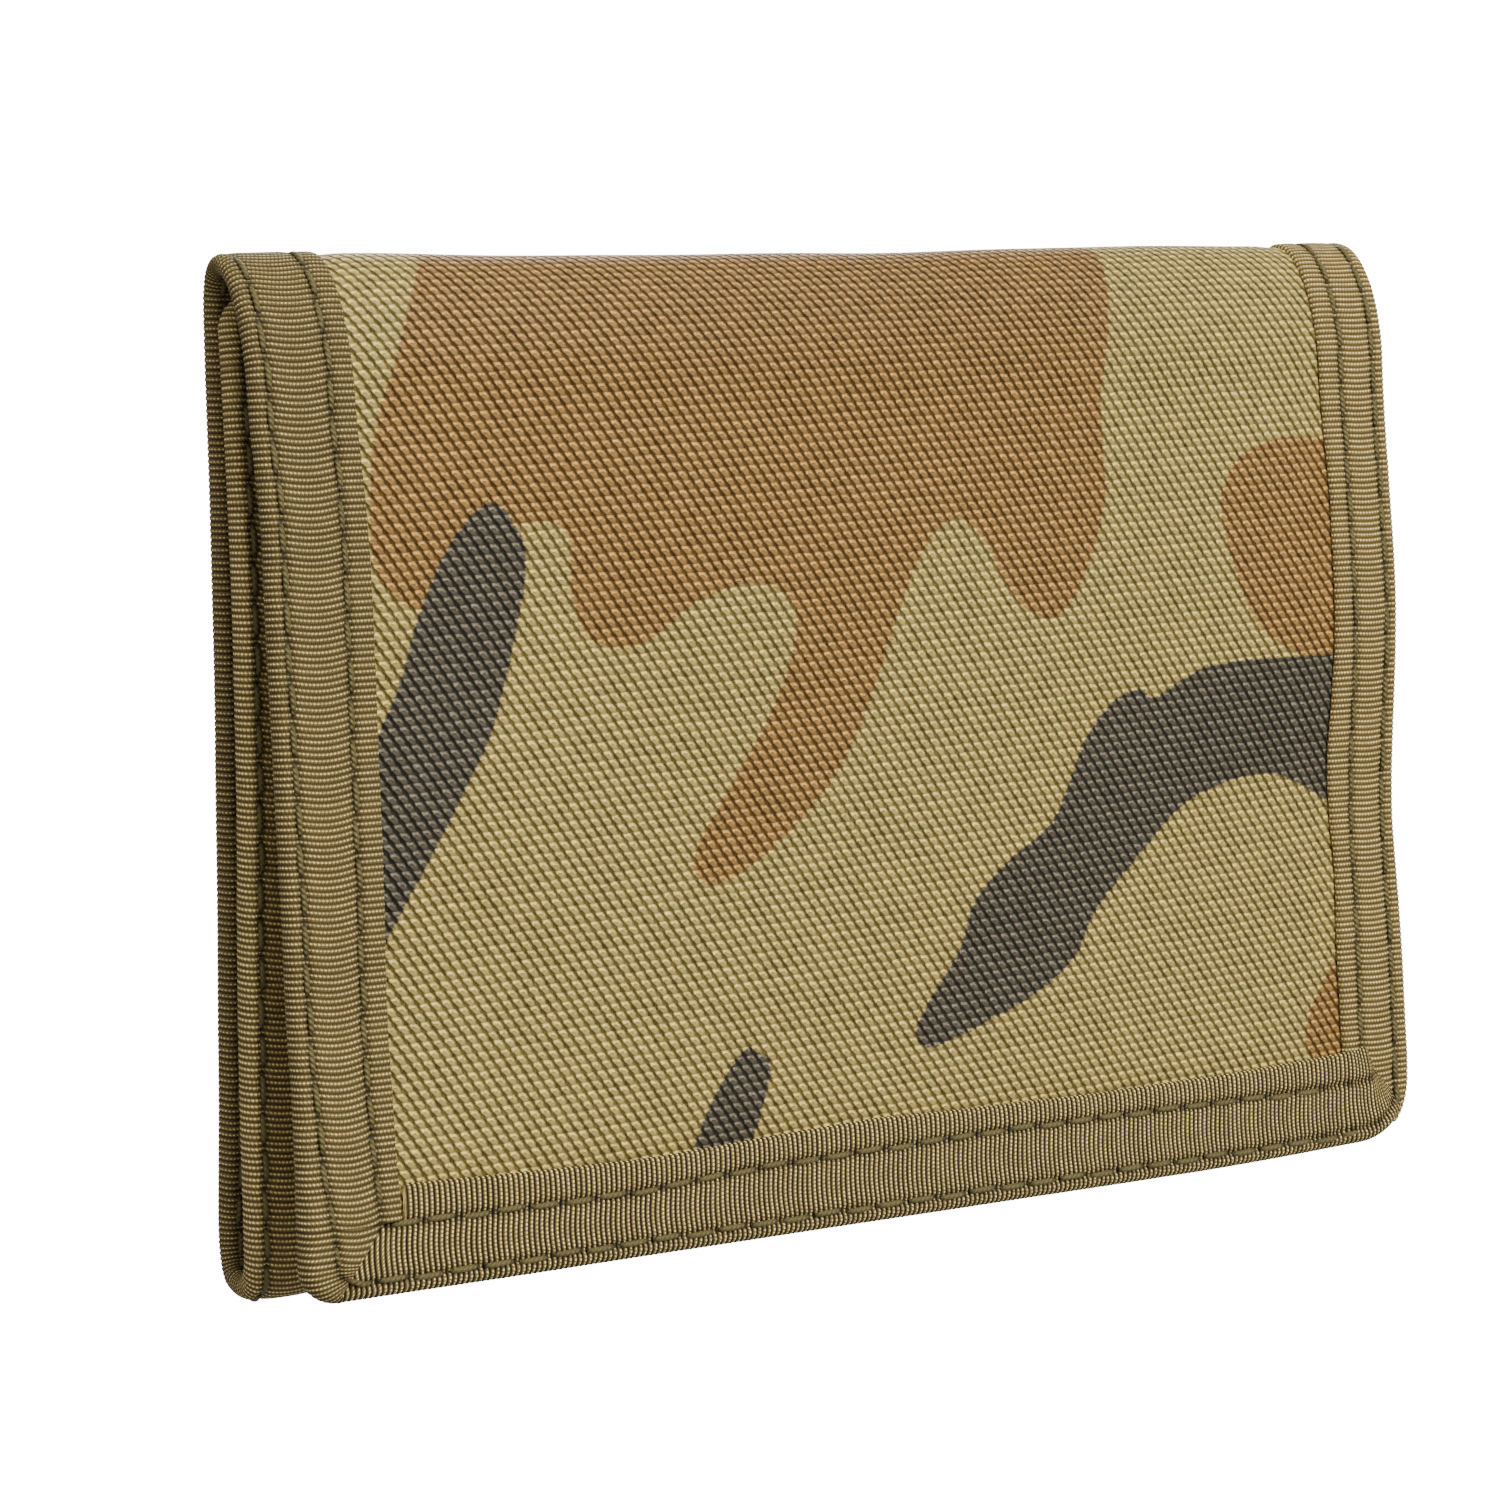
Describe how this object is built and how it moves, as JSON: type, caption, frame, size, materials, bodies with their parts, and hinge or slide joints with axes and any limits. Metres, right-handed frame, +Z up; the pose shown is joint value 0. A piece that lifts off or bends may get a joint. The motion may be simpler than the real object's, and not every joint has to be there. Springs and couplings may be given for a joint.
{
  "type": "trifold wallet",
  "caption": "Camouflage fabric trifold wallet with taped, double-stitched edges, card slots, clear window and zipped coin pocket, standing slightly open on its lower fold.",
  "frame": {"origin": "centre of the bounding box's underside, on the surface that the wallet stands on", "axes": "+X along the folds, towards the banknote side; -Y towards the front panel; +Z up, from the bottom fold to the top fold"},
  "size_m": [0.125, 0.0182, 0.094],
  "materials": {
    "shell": "coated plain-weave polyester with a woodland camouflage print",
    "tape": "ribbed olive binding tape, double stitched",
    "lining": "fine olive lining cloth",
    "stiffener": "thin foam sheet, hidden",
    "window_film": "clear soft film",
    "hook_tape": "moulded hooks on woven tape",
    "loop_tape": "brushed loops",
    "zip_tape": "woven zip tape",
    "zip_teeth": "nylon coil",
    "slider_metal": "dark bronze lacquer on die-cast metal"
  },
  "bodies": {
    "back": {"back_shell": "shell", "back_board": "stiffener", "back_lining": "lining", "back_binding_left": "tape", "back_binding_right": "tape", "window_film": "window_film", "window_frame": "lining"},
    "top_fold": {"top_fold_shell": "shell", "top_fold_lining": "lining", "top_fold_binding_left": "tape", "top_fold_binding_right": "tape"},
    "front": {"front_shell": "shell", "front_board": "stiffener", "front_lining": "lining", "front_binding_left": "tape", "front_binding_right": "tape", "front_binding_bottom": "tape", "card_slot_1": "lining", "card_slot_2": "lining", "card_slot_3": "lining", "hook_strip": "hook_tape"},
    "bottom_fold": {"bottom_fold_shell": "shell", "bottom_fold_lining": "lining", "bottom_fold_binding_left": "tape", "bottom_fold_binding_right": "tape"},
    "flap": {"flap_shell_lower": "shell", "flap_shell_upper": "shell", "coin_bag": "lining", "flap_lining": "lining", "flap_binding_left": "tape", "flap_binding_right": "tape", "flap_binding_top": "tape", "loop_strip": "loop_tape", "zip_tape_lower": "zip_tape", "zip_tape_upper": "zip_tape", "zip_teeth_lower": "zip_teeth", "zip_teeth_upper": "zip_teeth", "zip_stop_left": "zip_teeth", "zip_stop_right": "zip_teeth"},
    "slider": {"zip_slider": "slider_metal"},
    "pull": {"zip_pull": "slider_metal"}
  },
  "joints": [
    {"name": "top_fold_back_line", "type": "hinge", "parent": "back", "child": "top_fold", "pos_m": [0, 0.00649, 0.0914], "axis": [-1, 0, 0], "range_deg": [-0.5, 90]},
    {"name": "top_fold_front_line", "type": "hinge", "parent": "top_fold", "child": "front", "pos_m": [0, 0.00177, 0.0914], "axis": [-1, 0, 0], "range_deg": [-0.48, 84.74]},
    {"name": "bottom_fold_back_line", "type": "hinge", "parent": "back", "child": "bottom_fold", "pos_m": [0, 0.00649, 0.0026], "axis": [1, 0, 0], "range_deg": [-0.02, 3]},
    {"name": "bottom_fold_flap_line", "type": "hinge", "parent": "bottom_fold", "child": "flap", "pos_m": [0, 0.00349, 0.0026], "axis": [1, 0, 0], "range_deg": [-0.02, 3]},
    {"name": "zip_slide", "type": "slide", "parent": "flap", "child": "slider", "axis": [1, 0, 0], "range_m": [0, 0.0786]},
    {"name": "pull_lift", "type": "hinge", "parent": "slider", "child": "pull", "pos_m": [-0.03935, -0.00046, 0.03022], "axis": [0, 0.0272, 0.9996], "range_deg": [0, 11]}
  ],
  "couplings": [
    {"joint": "top_fold_front_line", "follows": "top_fold_back_line", "ratio": 0.94144},
    {"joint": "bottom_fold_back_line", "follows": "top_fold_back_line", "ratio": 0.033333},
    {"joint": "bottom_fold_flap_line", "follows": "top_fold_back_line", "ratio": 0.033333}
  ]
}
